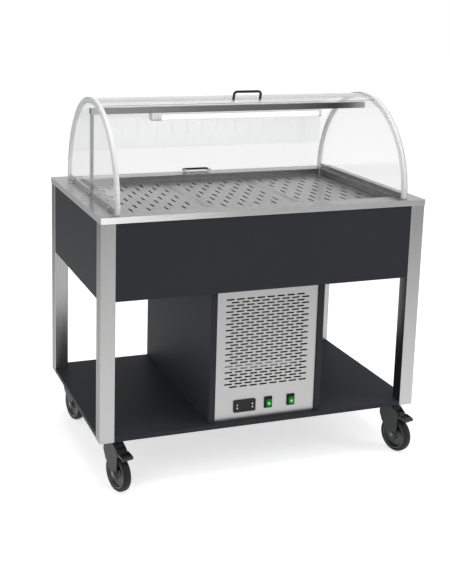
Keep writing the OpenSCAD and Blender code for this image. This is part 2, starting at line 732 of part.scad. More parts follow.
// Sheet between the cabinet's sides, folded back all round
module tray(y0, dir) {
  x0 = cab_x0 + joint;
  x1 = cab_x1 - joint;
  z0 = shelf_top;
  z1 = cab_z1;
  ya = dir > 0 ? y0 : y0 - front_fold;
  difference() {
    block(x0, x1, ya, ya + front_fold, z0, z1);
    block(x0 + sheet_t, x1 - sheet_t, ya + (dir > 0 ? sheet_t : -1),
      ya + front_fold + (dir > 0 ? 1 : -sheet_t), z0 + sheet_t, z1 - sheet_t);
  }
}
module vents() for (j = [0 : vent_rows - 1], i = [0 : vent_cols - 1])
  translate([cab_x + (i - (vent_cols - 1) / 2) * vent_px + (j % 2 == 0 ? 1 : -1) * vent_px / 4,
    vent_z + j * vent_pz]) slot_x(vent_l, vent_h);
module grille_panel() color("gainsboro") org() difference() {
  tray(cab_yf, 1);
  along_y(cab_yf - 1, cab_yf + sheet_t + 1) {
    vents();
    translate([ctrl_x, ctrl_z]) square([ctrl_cut_w, ctrl_cut_h], center = true);
    for (x = [sw1_x, sw2_x]) translate([x, sw_z]) square([sw_cut_w, sw_cut_h], center = true);
  }
}
module cabinet_back() color("gainsboro") org() difference() {
  tray(cab_yb, -1);
  along_y(cab_yb - sheet_t - 1, cab_yb + 1) {
    for (j = [0 : 15], i = [-2 : 2]) translate([cab_x + i * 60, back_z + j * back_pz]) slot_x(44, 8);
    translate([gland_x, gland_z]) circle(r = gland_r + screw_play);
  }
}

// Controls
module controller() color("black") org() difference() {
  union() {
    along_y(cab_yf - 5, cab_yf) translate([ctrl_x, ctrl_z]) plan(ctrl_w / 2, ctrl_h / 2, 3);
    block(ctrl_x - ctrl_cut_w / 2 + joint, ctrl_x + ctrl_cut_w / 2 - joint, cab_yf - 1, cab_yf + 58,
      ctrl_z - ctrl_cut_h / 2 + joint, ctrl_z + ctrl_cut_h / 2 - joint);
  }
  block(ctrl_x - 19, ctrl_x + 19, cab_yf - 6, cab_yf - 4, ctrl_z - 12, ctrl_z + 12);
  for (s = [-1, 1], t = [-1, 1])
    rod_y(ctrl_x + s * key_dx, cab_yf - 6, cab_yf + 2, ctrl_z + t * key_dz, key_d / 2 + pin_play);
}
module key(s, t) rod_y(ctrl_x + s * key_dx, cab_yf - 6.2, cab_yf + 2 - key_go - joint,
  ctrl_z + t * key_dz, key_d / 2);
module key_1() color("white") org() key(-1, 1);
module key_2() color("white") org() key(-1, -1);
module key_3() color("white") org() key(1, 1);
module key_4() color("white") org() key(1, -1);

// Frames of the two lit rocker switches
module switch_frame(x) difference() {
  union() {
    along_y(cab_yf - 2.5, cab_yf) translate([x, sw_z]) plan(sw_w / 2, sw_h / 2, 2);
    along_y(cab_yf - 7, cab_yf) translate([x, sw_z]) plan(sw_cut_w / 2 + 0.5, sw_cut_h / 2 + 1, 1.5);
    block(x - sw_cut_w / 2 + joint, x + sw_cut_w / 2 - joint, cab_yf - 1, cab_yf + 26,
      sw_z - sw_cut_h / 2 + joint, sw_z + sw_cut_h / 2 - joint);
  }
  block(x - rock_w / 2 - joint, x + rock_w / 2 + joint, cab_yf - 8, cab_yf + 12,
    sw_z - rock_h / 2 - 1.5, sw_z + rock_h / 2 + 1.5);
  rod_x(x - rock_w / 2 - 1.5 - joint, x + rock_w / 2 + 1.5 + joint, rock_y, sw_z, 1.5 + pin_play);
}
module switch_frames() color("black") org() for (x = [sw1_x, sw2_x]) switch_frame(x);
// Rocker, tipped by half its throw with the upper end pressed in
module rocker(x) translate([x, rock_y, sw_z]) {
  rotate([-sw_throw / 2, 0, 0]) along_x(-rock_w / 2, rock_w / 2) polygon([[-10, -rock_h / 2],
    [-8, 0], [-10, rock_h / 2], [0, rock_h / 2 - 0.5], [4, 4], [4, -4], [0, -rock_h / 2 + 0.5]]);
  rod_x(-rock_w / 2 - 1.5, rock_w / 2 + 1.5, 0, 0, 1.5);
}
module rocker_1() color("limegreen") org() rocker(sw1_x);
module rocker_2() color("limegreen") org() rocker(sw2_x);

// Folded tray between the cabinet's sides, which carries the machine
module machine_tray() color("gainsboro") org() difference() {
  block(cab_x0 + joint, cab_x1 - joint, tray_y0, tray_y0 + tray_l, tray_z, tray_z + tray_h);
  block(cab_x0 + joint + sheet_t, cab_x1 - joint - sheet_t, tray_y0 + sheet_t, tray_y0 + tray_l - sheet_t,
    tray_top, tray_z + tray_h + 1);
}

// Compressor: a domed pot with its weld seam and stubs, on a foot plate with four rubber feet
module pot_half() {
  r = comp_d / 2;
  d = comp_d / 5;
  difference() {
    union() {
      square([r - d, comp_h]);
      translate([0, d]) square([r, comp_h - 2 * d]);
      for (z = [d, comp_h - d]) translate([r - d, z]) circle(r = d);
      translate([0, comp_h / 2 - 4]) square([r + 4, 8]);
    }
    translate([-2 * r, -1]) square([2 * r, comp_h + 2]);
  }
}
module compressor() color("#303030") org() translate([cab_x, comp_y, 0]) {
  r = comp_d / 2;
  fy = r * 0.75;
  translate([0, 0, comp_z]) rotate_extrude() pot_half();
  difference() {
    slab(r + 15, fy, 10, comp_z - 6, comp_z + 2);
    for (s = [-1, 1], t = [-1, 1]) rod_z(s * (r + 3), t * (fy - 12), comp_z - 8, comp_z + 4, 4);
  }
  for (s = [-1, 1], t = [-1, 1]) rod_z(s * (r + 3), t * (fy - 12), tray_top, comp_z - 6.1, 9);
  rod_x(r * 0.6, r + 18, 40, tap_z, line_d / 2);
  rod_x(-r - 18, -r * 0.6, 40, tap_z, line_d / 2);
}

// Condenser: fin block between two end plates, with the tube's return bends
module condenser() color("darkgray") org() translate([cab_x, 0, 0]) {
  block(-cond_w / 2, cond_w / 2, cond_y0 + 3, cond_y1 - 3, cond_z0 + 10, cond_z1 - 10);
  both_sides() {
    block(cond_w / 2 - 1, cond_w / 2 + 1, cond_y0, cond_y1, cond_z0, cond_z1);
    for (i = [0 : floor((cond_h - 1.2 * bend_pitch) / bend_pitch)]) translate([cond_w / 2,
      (cond_y0 + cond_y1) / 2, cond_z0 + (i + 0.8) * bend_pitch]) rotate([90, 0, 0]) rotate([0, 0, -90])
      rotate_extrude(angle = 180) translate([bend_pitch / 4, 0]) circle(r = 4);
  }
  block(-cond_w / 2 - 1, cond_w / 2 + 1, cond_y0, cond_y1 + 8, tray_top, cond_z0 - 0.1);
}

// Shroud, bracket and motor of the fan
module fan_motor() color("gray") org() translate([cab_x, 0, fan_z]) {
  difference() {
    along_y(cond_y1, shroud_y + 15) difference() {
      square([cond_w + 2, cond_h], center = true);
      circle(r = fan_d / 2 + 4, $fn = 90);
    }
    along_y(cond_y1 + 2, shroud_y + 16) difference() {
      square([cond_w + 4, cond_h + 4], center = true);
      circle(r = fan_d / 2 + 6, $fn = 90);
    }
  }
  rod_y(0, shroud_y + 45, shroud_y + 100, 0, 38);
  rod_y(0, shroud_y + 8, shroud_y + 46, 0, 4);
  for (a = [30, 150, 270]) rotate([0, a, 0])
    block(30, fan_d / 2 + 6, shroud_y + 60, shroud_y + 66, -8, 8);
  for (a = [30, 150, 270]) rotate([0, a, 0])
    block(fan_d / 2 + 4, fan_d / 2 + 7, shroud_y - 12, shroud_y + 66, -8, 8);
}
module fan_blades() color("dimgray") org() translate([cab_x, 0, fan_z]) {
  difference() {
    rod_y(0, shroud_y + 12, shroud_y + 40, 0, 32);
    rod_y(0, shroud_y + 11, shroud_y + 41, 0, 4 + pin_play);
  }
  for (i = [0 : fan_n - 1]) rotate([0, i * 360 / fan_n, 0]) translate([0, shroud_y + 24, 0])
    intersection() {
      translate([0, 0, 30]) rotate([0, 0, 28]) translate([-36, -1, 0]) cube([72, 2, fan_d / 2]);
      rod_y(0, -30, 30, 0, fan_d / 2);
      translate([-27, -11.5, 0]) cube([54, 23, fan_d]);
    }
}

// Copper lines: suction line, liquid line with its drier, and discharge line
module refrigerant_lines() color("peru") org() {
  r = line_d / 2;
  b = 3 * r;
  x1 = cab_x + comp_d / 2 + 18;
  x2 = cab_x - comp_d / 2 - 18;
  xd = cab_x - cond_w / 2 - 19;
  yc = (cond_y0 + cond_y1) / 2;
  zd = cond_z0 + 15;
  tube_line([[coil_x, -coil_y0, stub_z], [coil_x, -coil_y0, tap_z], [coil_x, comp_y + 40, tap_z],
    [x1, comp_y + 40, tap_z]], r, b);
  tube_line([[coil_x, coil_y0, stub_z], [coil_x, coil_y0, cond_z1 + 20], [coil_x, yc, cond_z1 + 20],
    [coil_x, yc, cond_z1]], r * 0.7, 9);
  rod_y(coil_x, yc + 14, coil_y0 - 14, cond_z1 + 20, 9);
  tube_line([[x2, comp_y + 40, tap_z], [xd, comp_y + 40, tap_z], [xd, comp_y + 40, zd], [xd, yc, zd],
    [cab_x - cond_w / 2 - 1, yc, zd]], r * 0.7, 9);
}

// Gland for the mains cable, screwed into the back of the cabinet
module cable_gland() color("black") org() difference() {
  union() {
    rod_y(gland_x, cab_yb - 12, cab_yb + 10, gland_z, gland_r);
    translate([gland_x, cab_yb + 6, gland_z]) rotate([90, 0, 0]) cylinder(r = gland_r + 3.5, h = 6, $fn = 6);
    translate([gland_x, cab_yb - sheet_t, gland_z]) rotate([90, 0, 0])
      cylinder(r = gland_r + 3.5, h = 5, $fn = 6);
    rod_y(gland_x, cab_yb + 6, cab_yb + 16, gland_z, gland_r + 1.2);
  }
  rod_y(gland_x, cab_yb - 13, cab_yb + 17, gland_z, gland_d / 2);
}

// Casters
module caster_at(sx, sy) translate([sx * caster_x, sy * caster_y, 0])
  rotate([0, 0, sy < 0 ? turn_front : turn_rear]) children();
module caster_spots() for (sx = [-1, 1], sy = [-1, 1]) translate([sx * caster_x, sy * caster_y, 0])
  children();
module caster_plates() color("lightgray") org() caster_spots() difference() {
  slab(pad_a / 2, pad_a / 2, 6, pad_z, shelf_z);
  rod_z(0, 0, pad_z - 1, shelf_z + 1, 5 + pin_play);
  for (sx = [-1, 1], sy = [-1, 1]) rod_z(sx * pad_hole, sy * pad_hole, pad_z - 1, shelf_z + 1,
    2.5 + screw_play);
}
// Side outline of the fork: forward distance from the swivel axis, then height
module fork_side() {
  polygon([[-24, fork_top], [-24, axle_z + hood_r - 2], [-12, axle_z + 38], [trail - 17, axle_z],
    [trail + 17, axle_z], [trail + 20, axle_z + 40], [trail + 22, piv_z - 17],
    [trail + 26, piv_z - 8], [trail + 20, piv_z + 4], [trail + 4, piv_z + 15], [trail - 10, fork_top]]);
  translate([trail, axle_z]) circle(r = 17);
}
module fork_crown() difference() {
  polygon([[-24, fork_top], [-24, axle_z + hood_r - 11], [piv_u - 7, axle_z + hood_r - 11],
    [piv_u - 7, piv_z + 12.5], [trail + 4, piv_z + 15], [trail - 10, fork_top]]);
  translate([trail, axle_z]) circle(r = hood_r, $fn = 90);
}
// An outline as above, drawn out sideways and turned to point to the front
module sideways(x0, x1) mirror([0, 1, 0]) along_x(x0, x1) children();
module fork(brake) {
  difference() {
    union() {
      both_sides() sideways(gap_hw, fork_hw) fork_side();
      sideways(-gap_hw - 0.1, gap_hw + 0.1) fork_crown();
      rod_z(0, 0, fork_top - 1, pad_z - joint, 20);
      rod_z(0, 0, fork_top, shelf_z - 0.5, 5);
      if (brake) rod_x(-gap_hw - 1, gap_hw + 1, -piv_u, piv_z, 2.5);
      if (!brake) sideways(-gap_hw - 0.1, gap_hw + 0.1) difference() {
        polygon([[piv_u - 8, axle_z + hood_r - 2], [trail + 22, piv_z - 17], [trail + 25, piv_z - 8],
          [trail + 20, piv_z + 4], [trail + 4, piv_z + 15], [piv_u - 8, piv_z + 12]]);
        translate([trail, axle_z]) circle(r = hood_r, $fn = 90);
      }
    }
    rod_x(-fork_hw - 1, fork_hw + 1, -trail, axle_z, 5 + pin_play);
  }
  difference() {
    union() {
      rod_x(-fork_hw - 0.5, fork_hw + 0.5, -trail, axle_z, 5);
      both_sides() rod_x(fork_hw + 0.1, fork_hw + 3, -trail, axle_z, 8);
    }
    both_sides() translate([fork_hw + 1.2, -trail, axle_z]) rotate([0, 90, 0])
      cylinder(r = 3.5, h = 3, $fn = 6);
  }
}
module fork_fl() color("#404040") org() caster_at(-1, -1) fork(true);
module fork_fr() color("#404040") org() caster_at(1, -1) fork(true);
module fork_rl() color("#404040") org() caster_at(-1, 1) fork(false);
module fork_rr() color("#404040") org() caster_at(1, 1) fork(false);

// Wheel: tyre with a crowned tread on a dished centre
module wheel() translate([0, -trail, axle_z]) rotate([0, 90, 0]) {
  r = wheel_d / 2;
  w = wheel_w / 2;
  t = 12;
  rotate_extrude($fn = 90) difference() {
    union() {
      translate([r - t, -w + 3]) square([t - 4, 2 * w - 6]);
      translate([r - t, -w]) square([t - 7, 2 * w]);
      translate([r - 4 - 4, -w + 4]) square([8, 2 * w - 8]);
      for (s = [-1, 1]) translate([r - 7, s * (w - 7)]) circle(r = 7);
    }
    translate([0, -50]) square([r - t + 0.2, 100]);
  }
  rotate_extrude($fn = 90) {
    translate([5 + pin_play, -w - 1]) square([9, 2 * w + 2]);
    translate([10, -3]) square([r - t - 12, 6]);
    translate([r - t - 6, -w + 1]) square([6, 2 * w - 2]);
  }
}
module wheel_fl() color("#252525") org() caster_at(-1, -1) wheel();
module wheel_fr() color("#252525") org() caster_at(1, -1) wheel();
module wheel_rl() color("#252525") org() caster_at(-1, 1) wheel();
module wheel_rr() color("#252525") org() caster_at(1, 1) wheel();

// Brake pedal with its sunk square and its lip
module pedal() difference() {
  union() {
    sideways(-gap_hw + joint, gap_hw - joint) {
      translate([piv_u, piv_z]) circle(r = 6);
      polygon([[piv_u, piv_z + 6], [piv_u + 20, piv_z + 1.5], [piv_u + 20, piv_z - 10],
        [piv_u, piv_z - 6]]);
    }
    sideways(-pedal_w / 2, pedal_w / 2) polygon([[piv_u + 17.5, piv_z + 2],
      [pedal_reach - 8, piv_z - 3], [pedal_reach, piv_z - 8], [pedal_reach, piv_z - 14],
      [pedal_reach - 6, piv_z - 16], [pedal_reach - 9, piv_z - 12], [piv_u + 17.5, piv_z - 9]]);
  }
  rod_x(-gap_hw - 1, gap_hw + 1, -piv_u, piv_z, 2.5 + pin_play);
  translate([0, -piv_u, piv_z]) rotate([8, 0, 0]) translate([-11, -36, 0]) cube([22, 20, 12]);
}
module pedal_fl() color("#303030") org() caster_at(-1, -1) pedal();
module pedal_fr() color("#303030") org() caster_at(1, -1) pedal();

// Screws of the end panels, the lamp bar and the casters' plates
module screw_x(x, y, z, l) {
  rod_x(x - l, x, y, z, screw_d / 2);
  difference() {
    rod_x(x, x + 2.5, y, z, screw_d * 0.9);
    translate([x + 1, y, z]) rotate([0, 90, 0]) cylinder(r = screw_d * 0.32, h = 3, $fn = 6);
  }
}
module screws() color("silver") org() {
  both_sides() {
    for (y = [-fix_y, 0, fix_y]) screw_x(end_x, y, fix_z, end_x - rail_x);
    screw_x(end_x, 0, bar_fix_z, end_t + 8);
  }
  caster_spots() for (sx = [-1, 1], sy = [-1, 1]) {
    rod_z(sx * pad_hole, sy * pad_hole, pad_z, shelf_z + 10, 2.5);
    rod_z(sx * pad_hole, sy * pad_hole, pad_z - 2.5, pad_z, 4.5);
  }
}

legs_front();
legs_rear();
worktop_rim();
well_tub();
well_insulation();
evaporator_coil();
panel_front();
panel_rear();
panel_left();
panel_right();
underside_panel();
frame_rails();
base_plate_1();
base_plate_2();
base_plate_3();
end_rails();
end_panel_left();
end_panel_right();
guide_strips();
front_shell();
rear_shell();
handle_front();
handle_rear();
lamp_post();
lamp_bar();
lamp_housing();
lamp_diffuser();
bottom_shelf();
cabinet_side_left();
cabinet_side_right();
cabinet_back();
grille_panel();
controller();
key_1();
key_2();
key_3();
key_4();
switch_frames();
rocker_1();
rocker_2();
machine_tray();
compressor();
condenser();
fan_motor();
fan_blades();
refrigerant_lines();
cable_gland();
caster_plates();
fork_fl();
fork_fr();
fork_rl();
fork_rr();
wheel_fl();
wheel_fr();
wheel_rl();
wheel_rr();
pedal_fl();
pedal_fr();
screws();
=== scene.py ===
import json
import math
import bpy
import bmesh
from mathutils import Matrix, Vector


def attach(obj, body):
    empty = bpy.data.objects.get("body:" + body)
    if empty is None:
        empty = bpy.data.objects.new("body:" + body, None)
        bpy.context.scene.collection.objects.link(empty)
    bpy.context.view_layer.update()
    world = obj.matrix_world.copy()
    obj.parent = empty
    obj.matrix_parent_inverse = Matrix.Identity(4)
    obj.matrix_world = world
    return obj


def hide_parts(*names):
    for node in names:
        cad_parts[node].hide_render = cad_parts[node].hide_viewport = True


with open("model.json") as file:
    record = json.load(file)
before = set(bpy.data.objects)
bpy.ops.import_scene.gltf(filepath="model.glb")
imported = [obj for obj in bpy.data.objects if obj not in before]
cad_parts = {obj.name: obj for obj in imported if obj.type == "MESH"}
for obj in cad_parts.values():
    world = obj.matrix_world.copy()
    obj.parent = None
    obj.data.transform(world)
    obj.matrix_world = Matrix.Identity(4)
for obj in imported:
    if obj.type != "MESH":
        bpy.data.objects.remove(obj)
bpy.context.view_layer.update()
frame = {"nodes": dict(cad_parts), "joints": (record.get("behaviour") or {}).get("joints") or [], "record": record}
nodes = frame["nodes"]
scene = bpy.context.scene
scene.view_settings.view_transform = "Standard"
joints = {joint["name"]: joint for joint in frame["joints"]}
bodyOf = {node: body for body, members in frame["record"]["behaviour"]["bodies"].items() for node in members}
domeAxis = Vector(joints["front_shell_roll"]["pos_m"])
mm = 0.001
print("frame loaded:", len(nodes), "nodes")

# camera, light and floor
cameraSet = {"place": (-1.373, -3.2764, 1.6281), "yaw": 18.931, "pitch": 10.791, "roll": 1.004,
             "lens": 63.79, "shift": (0.1005, -0.1915), "farthest": 80}
lightSet = {
    "softboxLeft": {"place": (-2.8, -2.4, 2.6), "aim": (0, 0, 0.7), "size": (2.2, 2.2), "power": 30, "gloss": True},
    "softboxRight": {"place": (3.0, -1.8, 2.2), "aim": (0, 0, 0.7), "size": (1.8, 2.4), "power": 26, "gloss": True},
    "softboxTop": {"place": (0.1, -0.3, 3.4), "aim": (0, 0, 0.8), "size": (2.6, 2.0), "power": 46, "gloss": False},
    "frontFill": {"place": (0.6, -4.4, 1.5), "aim": (0, 0, 0.6), "size": (2.4, 1.6), "power": 15, "gloss": False},
}
studioSet = {"ambient": 0.42, "horizon": 1.0, "zenith": 0.85, "skyFrom": 0.08, "skyTo": 0.6, "through": 0.79}
floorSet = {"size": 40, "tone": (0.86, 0.86, 0.86), "roughness": 0.9, "sheen": 0.1,
            "glowFrom": 1.8, "glowTo": 7, "glowNear": 0.62, "glowFar": 0.72,
            "glossFrom": 0.8, "glossTo": 4.5, "glossNear": 1.0, "glossFar": 0.22}


def wire(tree, out, into):
    tree.links.new(out, into)


def combined(tree, operation, a, b):
    node = tree.nodes.new("ShaderNodeMath")
    node.operation = operation
    wire(tree, a, node.inputs[0])
    wire(tree, b, node.inputs[1])
    return node.outputs[0]


def times(tree, a, b):
    return combined(tree, "MULTIPLY", a, b)


def larger(tree, a, b):
    return combined(tree, "MAXIMUM", a, b)


def mapped(tree, value, low, high, atLow, atHigh, kind="LINEAR"):
    node = tree.nodes.new("ShaderNodeMapRange")
    node.interpolation_type = kind
    for socket, number in (("From Min", low), ("From Max", high), ("To Min", atLow), ("To Max", atHigh)):
        node.inputs[socket].default_value = number
    wire(tree, value, node.inputs["Value"])
    return node.outputs["Result"]


def placeIn(tree):
    return tree.nodes.new("ShaderNodeTexCoord").outputs["Object"]


def axesOf(tree, coordinates):
    split = tree.nodes.new("ShaderNodeSeparateXYZ")
    wire(tree, coordinates, split.inputs[0])
    return split.outputs


def placed(data, name, matrix):
    thing = bpy.data.objects.new(name, data)
    scene.collection.objects.link(thing)
    thing.matrix_world = matrix
    return thing


def newMaterial(name, values):
    material = bpy.data.materials.new(name)
    material.use_nodes = True
    shader = material.node_tree.nodes["Principled BSDF"]
    for socket, value in values.items():
        shader.inputs[socket].default_value = value
    return material, material.node_tree, shader


def makeCamera(s):
    yaw, pitch, roll = (math.radians(s[key]) for key in ("yaw", "pitch", "roll"))
    ahead = Vector((math.sin(yaw) * math.cos(pitch), math.cos(yaw) * math.cos(pitch), -math.sin(pitch)))
    right = Vector((math.cos(yaw), -math.sin(yaw), 0))
    down = ahead.cross(right)
    levelRight = math.cos(roll) * right - math.sin(roll) * down
    levelDown = math.sin(roll) * right + math.cos(roll) * down
    turn = Matrix((levelRight, -levelDown, -ahead)).transposed().to_4x4()
    data = bpy.data.cameras.new("camera")
    data.lens = s["lens"]
    data.shift_x, data.shift_y = s["shift"]
    data.clip_end = s["farthest"]
    scene.camera = placed(data, "camera", Matrix.Translation(Vector(s["place"])) @ turn)


def makeLights(s):
    for name, light in s.items():
        data = bpy.data.lights.new(name, "AREA")
        data.shape = "RECTANGLE"
        data.size, data.size_y = light["size"]
        data.energy = light["power"]
        place = Vector(light["place"])
        turn = (place - Vector(light["aim"])).to_track_quat("Z", "Y").to_matrix().to_4x4()
        lamp = placed(data, name, Matrix.Translation(place) @ turn)
        lamp.visible_glossy = light["gloss"]


def seenAndMirrored(tree):
    # what the camera finds, straight or a little dimmer through clear plastic, and what shiny pieces find
    paths = tree.nodes.new("ShaderNodeLightPath")
    through = mapped(tree, paths.outputs["Is Transmission Ray"], 0, 1, 0, studioSet["through"])
    return larger(tree, paths.outputs["Is Camera Ray"], through), paths.outputs["Is Glossy Ray"]


def makeStudio(s):
    world = bpy.data.worlds.new("studio")
    scene.world = world
    world.use_nodes = True
    tree = world.node_tree
    # white to the camera, and to shiny pieces a little greyer overhead than along the horizon
    seen, mirrored = seenAndMirrored(tree)
    height = axesOf(tree, tree.nodes.new("ShaderNodeTexCoord").outputs["Generated"])["Z"]
    sky = mapped(tree, height, s["skyFrom"], s["skyTo"], s["horizon"], s["zenith"], "SMOOTHSTEP")
    strength = larger(tree, mapped(tree, seen, 0, 1, s["ambient"], 1.0), times(tree, mirrored, sky))
    back = tree.nodes["Background"]
    back.inputs["Color"].default_value = (1, 1, 1, 1)
    wire(tree, strength, back.inputs["Strength"])


def makeFloor(s):
    bm = bmesh.new()
    bmesh.ops.create_grid(bm, x_segments=1, y_segments=1, size=s["size"] / 2)
    mesh = bpy.data.meshes.new("floor")
    bm.to_mesh(mesh)
    bm.free()
    material, tree, shader = newMaterial("paleFloor", {
        "Base Color": (*s["tone"], 1), "Roughness": s["roughness"], "Specular IOR Level": s["sheen"],
        "Emission Color": (1, 1, 1, 1)})
    # white all round, with the shadow kept near the trolley
    reach = tree.nodes.new("ShaderNodeVectorMath")
    reach.operation = "LENGTH"
    wire(tree, placeIn(tree), reach.inputs[0])
    away = reach.outputs["Value"]
    seen, mirrored = seenAndMirrored(tree)
    glow = mapped(tree, away, s["glowFrom"], s["glowTo"], s["glowNear"], s["glowFar"], "SMOOTHSTEP")
    gloss = mapped(tree, away, s["glossFrom"], s["glossTo"], s["glossNear"], s["glossFar"], "SMOOTHSTEP")
    wire(tree, larger(tree, times(tree, seen, glow), times(tree, mirrored, gloss)), shader.inputs["Emission Strength"])
    mesh.materials.append(material)
    floor = placed(mesh, "floor", Matrix.Identity(4))


makeCamera(cameraSet)
makeLights(lightSet)
makeStudio(studioSet)
makeFloor(floorSet)
print("camera, lights and floor ready")


# shared surface effects
grainSet = {
    "brushedGrain": {"scale": 1.0, "detail": 3, "bump": 0.0003, "cloudScale": 2.6, "cloudDetail": 2},
    "mouldedGrain": {"scale": 1.0, "detail": 2, "bump": 0.0004, "cloudScale": 2.6, "cloudDetail": 2},
}


def newGroup(name, inputs, outputs):
    group = bpy.data.node_groups.new(name, "ShaderNodeTree")
    for socketName, kind, value in inputs:
        socket = group.interface.new_socket(socketName, in_out="INPUT", socket_type=kind)
        socket.default_value = value
    for socketName, kind in outputs:
        group.interface.new_socket(socketName, in_out="OUTPUT", socket_type=kind)
    return group, group.nodes.new("NodeGroupInput"), group.nodes.new("NodeGroupOutput")


def noiseOf(group, vector, scale, detail):
    noise = group.nodes.new("ShaderNodeTexNoise")
    noise.inputs["Scale"].default_value = scale
    noise.inputs["Detail"].default_value = detail
    noise.inputs["Roughness"].default_value = 0.55
    wire(group, vector, noise.inputs["Vector"])
    return noise.outputs["Fac"]


def around(group, value, spread):
    # a value about 0.5 becomes a factor about 1, as wide as the spread
    centre, scaled, factor = (group.nodes.new("ShaderNodeMath") for _ in range(3))
    centre.operation, scaled.operation, factor.operation = "SUBTRACT", "MULTIPLY", "ADD"
    centre.inputs[1].default_value = 0.5
    factor.inputs[1].default_value = 1.0
    wire(group, value, centre.inputs[0])
    wire(group, centre.outputs[0], scaled.inputs[0])
    wire(group, spread, scaled.inputs[1])
    wire(group, scaled.outputs[0], factor.inputs[0])
    return factor.outputs[0]


def toneBy(group, colour, factor):
    scaled = group.nodes.new("ShaderNodeVectorMath")
    scaled.operation = "SCALE"
    wire(group, colour, scaled.inputs[0])
    wire(group, factor, scaled.inputs["Scale"])
    return scaled.outputs["Vector"]


def stretched(group, coordinates, stretch):
    product = group.nodes.new("ShaderNodeVectorMath")
    product.operation = "MULTIPLY"
    wire(group, coordinates, product.inputs[0])
    wire(group, stretch, product.inputs[1])
    return product.outputs["Vector"]


def bumpOf(group, height, depth, distance):
    bump = group.nodes.new("ShaderNodeBump")
    bump.inputs["Distance"].default_value = distance
    wire(group, height, bump.inputs["Height"])
    wire(group, depth, bump.inputs["Strength"])
    return bump.outputs["Normal"]


def makeGrainGroup(name, s):
    # fine marks stretched along a direction, and slow clouds over the whole piece
    group, source, target = newGroup(name, [
        ("Tone", "NodeSocketColor", (0.5, 0.5, 0.5, 1)), ("Stretch", "NodeSocketVector", (1, 1, 1)),
        ("Marks", "NodeSocketFloat", 0.1), ("Clouds", "NodeSocketFloat", 0.1),
        ("Roughness", "NodeSocketFloat", 0.4), ("Roughness Spread", "NodeSocketFloat", 0.2),
        ("Depth", "NodeSocketFloat", 0.1)],
        [("Colour", "NodeSocketColor"), ("Roughness", "NodeSocketFloat"), ("Normal", "NodeSocketVector")])
    ask = source.outputs
    place = placeIn(group)
    marks = noiseOf(group, stretched(group, place, ask["Stretch"]), s["scale"], s["detail"])
    clouds = noiseOf(group, place, s["cloudScale"], s["cloudDetail"])
    tone = times(group, around(group, marks, ask["Marks"]), around(group, clouds, ask["Clouds"]))
    rough = times(group, ask["Roughness"], around(group, marks, ask["Roughness Spread"]))
    wire(group, toneBy(group, ask["Tone"], tone), target.inputs["Colour"])
    wire(group, rough, target.inputs["Roughness"])
    wire(group, bumpOf(group, marks, ask["Depth"], s["bump"]), target.inputs["Normal"])
    return group


grains = {name: makeGrainGroup(name, s) for name, s in grainSet.items()}

# metals: the stretch is the brushing's direction, long where its number is small
along, across, upright, fine = (5, 420, 420), (420, 5, 420), (420, 420, 5), (700, 700, 700)
metalSet = {
    "steelTop": {"tone": (0.34, 0.34, 0.338), "stretch": along, "marks": 0.16, "clouds": 0.1,
                 "roughness": 0.27, "spread": 0.5, "depth": 0.12},
    "steelPlate": {"tone": (0.34, 0.34, 0.337), "stretch": across, "marks": 0.16, "clouds": 0.16,
                   "roughness": 0.3, "spread": 0.5, "depth": 0.12},
    "steelWell": {"tone": (0.26, 0.26, 0.26), "stretch": along, "marks": 0.16, "clouds": 0.1,
                  "roughness": 0.25, "spread": 0.5, "depth": 0.1},
    "steelLeg": {"tone": (0.33, 0.33, 0.328), "stretch": upright, "marks": 0.2, "clouds": 0.22,
                 "roughness": 0.3, "spread": 0.5, "depth": 0.14,
                 "shader": {"Specular Tint": (0.5, 0.5, 0.5, 1)}},
    "steelFront": {"tone": (0.33, 0.33, 0.328), "stretch": along, "marks": 0.1, "clouds": 0.12,
                   "roughness": 0.36, "spread": 0.4, "depth": 0.1},
    "zincSheet": {"tone": (0.4, 0.41, 0.42), "stretch": fine, "marks": 0.2, "clouds": 0.2,
                  "roughness": 0.4, "spread": 0.4, "depth": 0.1},
    "railAluminium": {"tone": (0.3, 0.3, 0.3), "stretch": across, "marks": 0.14, "clouds": 0.16,
                      "roughness": 0.28, "spread": 0.4, "depth": 0.1},
    "barAluminium": {"tone": (0.2, 0.2, 0.2), "stretch": along, "marks": 0.14, "clouds": 0.16,
                     "roughness": 0.3, "spread": 0.4, "depth": 0.1},
    "postAluminium": {"tone": (0.1, 0.1, 0.1), "stretch": upright, "marks": 0.14, "clouds": 0.1,
                      "roughness": 0.3, "spread": 0.4, "depth": 0.1},
    "screwSteel": {"tone": (0.55, 0.55, 0.56), "stretch": fine, "marks": 0.1, "clouds": 0.1,
                   "roughness": 0.28, "spread": 0.3, "depth": 0.05},
    "axleSteel": {"tone": (0.12, 0.12, 0.125), "stretch": fine, "marks": 0.1, "clouds": 0.1,
                  "roughness": 0.34, "spread": 0.3, "depth": 0.05},
    # painted shade: the condenser's aluminium fins are coloured near black for the shade inside the cabinet behind the
    # grille
    "finAluminium": {"tone": (0.07, 0.07, 0.073), "stretch": (900, 4, 4), "marks": 0.5, "clouds": 0.2,
                     "roughness": 0.45, "spread": 0.3, "depth": 0.2},
    "bladeAluminium": {"tone": (0.4, 0.4, 0.41), "stretch": fine, "marks": 0.1, "clouds": 0.1,
                       "roughness": 0.4, "spread": 0.3, "depth": 0.1},
    "copperTube": {"tone": (0.68, 0.36, 0.22), "stretch": fine, "marks": 0.12, "clouds": 0.3,
                   "roughness": 0.33, "spread": 0.4, "depth": 0.06},
}
